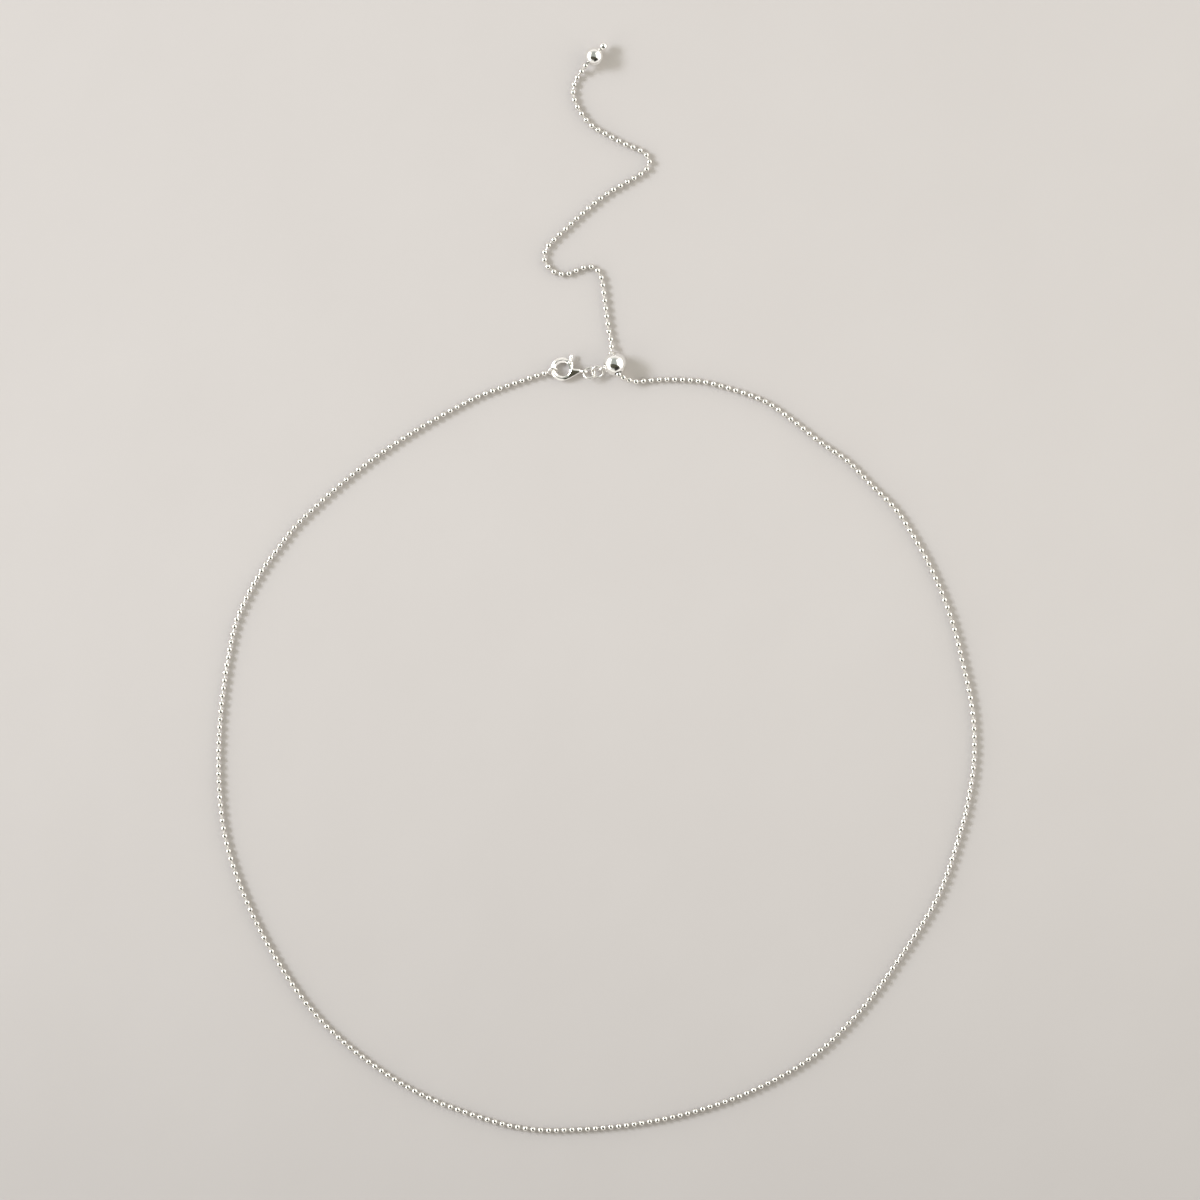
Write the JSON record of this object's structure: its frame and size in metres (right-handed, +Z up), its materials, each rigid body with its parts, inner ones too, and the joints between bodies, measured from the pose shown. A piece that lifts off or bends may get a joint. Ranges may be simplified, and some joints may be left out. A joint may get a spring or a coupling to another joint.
{
  "type": "ball chain necklace",
  "caption": "Slider necklace of fine silver ball chain with a lobster clasp, a slider bead, and a free tail that ends in a small ball, laid flat in an open loop.",
  "frame": {"origin": "on the surface that the necklace lies on, under the middle of its box", "axes": "+X to the right in the picture, +Y from the loop to the free tail's end, +Z up from the surface"},
  "size_m": [0.1623, 0.2322, 0.005],
  "materials": {
    "chain_silver": "bright polished silver",
    "pin_silver": "bright drawn silver wire",
    "ball_silver": "mirror polished silver",
    "ring_silver": "polished silver wire",
    "clasp_silver": "cast and polished silver"
  },
  "bodies": {
    "necklace": {"loop_chain": "chain_silver", "tail_beads": "chain_silver", "tail_wire": "pin_silver", "slider_bead": "ball_silver", "end_ball": "ball_silver", "tip_bead": "ball_silver", "end_ring": "ring_silver", "clasp_body": "clasp_silver", "clasp_pin": "pin_silver", "clasp_ring": "ring_silver", "link_ring": "ring_silver"},
    "lever": {"clasp_lever": "clasp_silver"}
  },
  "joints": [
    {"name": "lever_swing", "type": "hinge", "parent": "necklace", "child": "lever", "pos_m": [-0.00561, 0.0478, 0.00095], "axis": [0, 0, 1], "range_deg": [0, 18], "stiffness_Nm_per_rad": 0.004, "springref_deg": -11.46}
  ]
}
